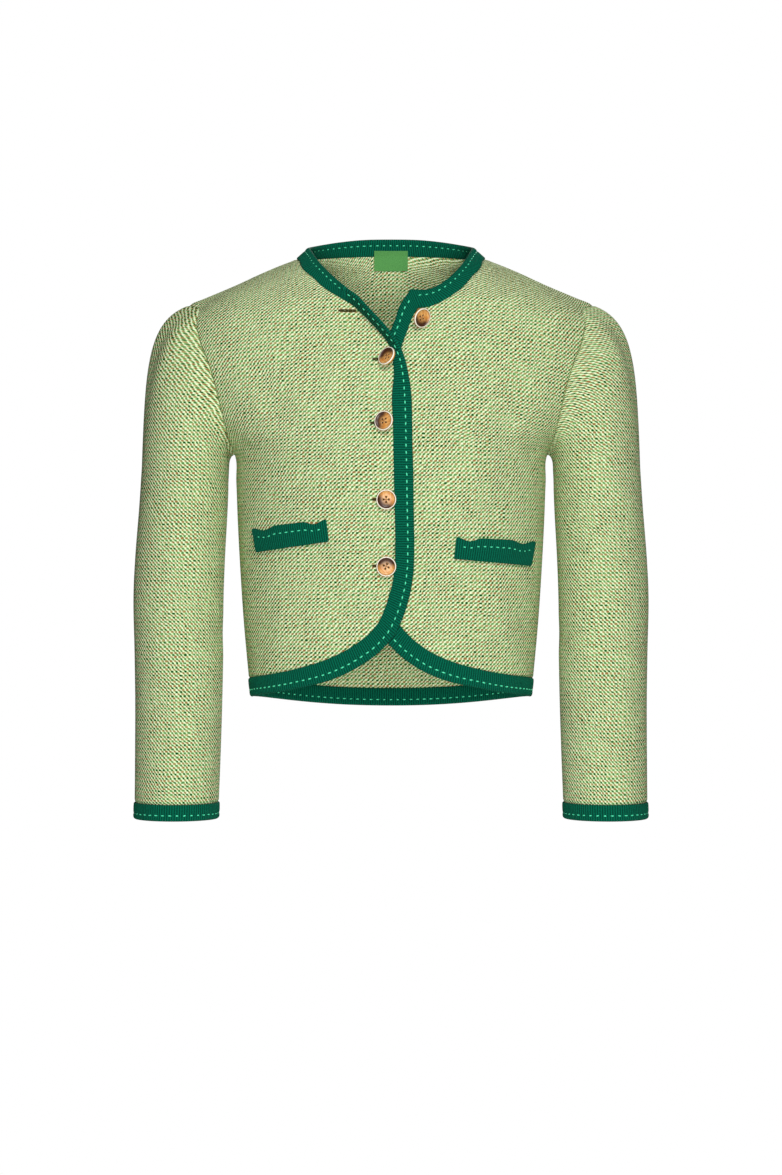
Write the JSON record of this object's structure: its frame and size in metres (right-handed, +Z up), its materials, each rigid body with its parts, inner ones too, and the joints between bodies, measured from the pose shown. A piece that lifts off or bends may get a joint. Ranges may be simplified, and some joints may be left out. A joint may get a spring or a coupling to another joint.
{
  "type": "knit cardigan, filled out as worn",
  "caption": "Hip-length knit cardigan in a two-tone speckled knit with dark ribbed trim, cutaway fronts, round buttons and small pocket welts, hollow and filled out as worn.",
  "frame": {"origin": "middle of the neck, level with the two neck points where the wearer's shoulders hold the garment", "axes": "+Z up, -Y out of the fronts, +X towards the wearer's left sleeve"},
  "size_m": [0.5376, 0.2347, 0.6116],
  "materials": {
    "knit": "matte",
    "trim": "matte",
    "button": "satin",
    "label": "matte",
    "stitch": "satin"
  },
  "bodies": {
    "root": {"back": "knit", "front_right": "knit", "front_left": "knit", "sleeve_right": "knit", "sleeve_left": "knit", "neck_band": "trim", "front_band_right": "trim", "front_band_left": "trim", "hem_band_back": "trim", "cuff_band_right": "trim", "cuff_band_left": "trim", "pocket_welt_right": "trim", "pocket_welt_left": "trim", "button_1": "button", "button_2": "button", "button_3": "button", "button_4": "button", "button_5": "button", "neck_label": "label"}
  },
  "joints": []
}
